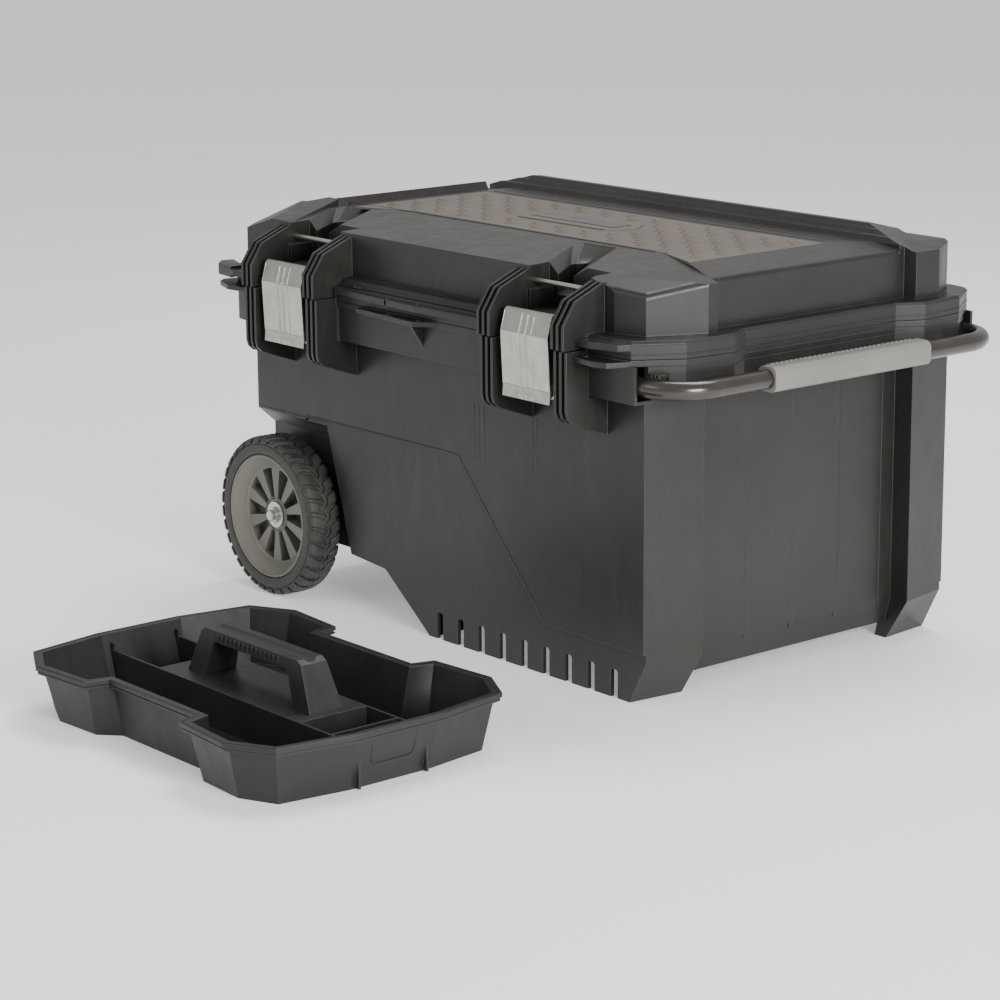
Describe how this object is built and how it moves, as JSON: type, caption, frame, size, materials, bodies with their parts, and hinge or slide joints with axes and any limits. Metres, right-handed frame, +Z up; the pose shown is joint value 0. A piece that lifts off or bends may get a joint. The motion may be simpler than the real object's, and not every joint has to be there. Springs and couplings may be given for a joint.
{
  "type": "wheeled tool chest",
  "caption": "Wheeled tool chest with a hinged tread-plate lid, metal draw latches, telescopic pull handle and a lift-out tote tray.",
  "frame": {"origin": "on the floor under the middle of the chest", "axes": "+X towards the pull handle's grip, -Y towards the latches, +Z up"},
  "size_m": [0.7453, 0.9345, 0.433],
  "materials": {
    "moulded_dark": "satin moulded polypropylene, dark charcoal",
    "insert_taupe": "matt moulded tread-plate panel, warm grey",
    "plate_black": "blank gloss black plate",
    "zinc_steel": "bright zinc-plated steel",
    "tube_black": "gloss black powder coat",
    "grip_grey": "mid-grey moulded grip",
    "glide_black": "black acetal",
    "rim_grey": "light warm grey moulded rim",
    "tyre_black": "black rubber tread",
    "tray_dark": "fine-grained dark moulded plastic"
  },
  "bodies": {
    "chest": {"tub": "moulded_dark", "handle_channel_front": "moulded_dark", "handle_channel_rear": "moulded_dark", "axle": "zinc_steel", "axle_washers": "zinc_steel", "push_nuts": "zinc_steel", "hinge_pins": "zinc_steel"},
    "lid": {"lid": "moulded_dark", "lid_insert": "insert_taupe", "name_plate": "plate_black", "tie_rod_left": "zinc_steel", "tie_rod_right": "zinc_steel"},
    "bail_left": {"latch_bail_left": "zinc_steel"},
    "bail_right": {"latch_bail_right": "zinc_steel"},
    "latch_left": {"latch_plate_left": "zinc_steel"},
    "latch_right": {"latch_plate_right": "zinc_steel"},
    "pull_handle": {"handle_tube": "tube_black", "handle_grip": "grip_grey", "handle_glides": "glide_black"},
    "wheel_front": {"wheel_rim_front": "rim_grey", "wheel_bush_front": "glide_black", "tyre_front": "tyre_black"},
    "wheel_rear": {"wheel_rim_rear": "rim_grey", "wheel_bush_rear": "glide_black", "tyre_rear": "tyre_black"},
    "tray": {"tray": "tray_dark", "tray_handle": "tray_dark"}
  },
  "joints": [
    {"name": "lid_hinge", "type": "hinge", "parent": "chest", "child": "lid", "pos_m": [0, 0.247, 0.35], "axis": [-1, 0, 0], "range_deg": [0, 100]},
    {"name": "bail_left_pivot", "type": "hinge", "parent": "chest", "child": "bail_left", "pos_m": [-0.199, -0.243, 0.33], "axis": [-1, 0, 0], "range_deg": [0, 23]},
    {"name": "latch_left_pivot", "type": "hinge", "parent": "bail_left", "child": "latch_left", "pos_m": [-0.199, -0.2565, 0.3], "axis": [1, 0, 0], "range_deg": [0, 150]},
    {"name": "bail_right_pivot", "type": "hinge", "parent": "chest", "child": "bail_right", "pos_m": [0.199, -0.243, 0.33], "axis": [-1, 0, 0], "range_deg": [0, 23]},
    {"name": "latch_right_pivot", "type": "hinge", "parent": "bail_right", "child": "latch_right", "pos_m": [0.199, -0.2565, 0.3], "axis": [1, 0, 0], "range_deg": [0, 150]},
    {"name": "handle_slide", "type": "slide", "parent": "chest", "child": "pull_handle", "axis": [1, 0, 0], "range_m": [0, 0.35]},
    {"name": "wheel_front_spin", "type": "hinge", "parent": "chest", "child": "wheel_front", "pos_m": [-0.269, -0.221, 0.089], "axis": [0, 1, 0], "continuous": true},
    {"name": "wheel_rear_spin", "type": "hinge", "parent": "chest", "child": "wheel_rear", "pos_m": [-0.269, 0.221, 0.089], "axis": [0, 1, 0], "continuous": true},
    {"name": "tray_lift", "type": "slide", "parent": "chest", "child": "tray", "axis": [0, 0, 1], "range_m": [0, 0.3]}
  ],
  "couplings": [
    {"joint": "bail_left_pivot", "follows": "latch_left_pivot", "ratio": 0.15},
    {"joint": "bail_right_pivot", "follows": "latch_right_pivot", "ratio": 0.15}
  ]
}
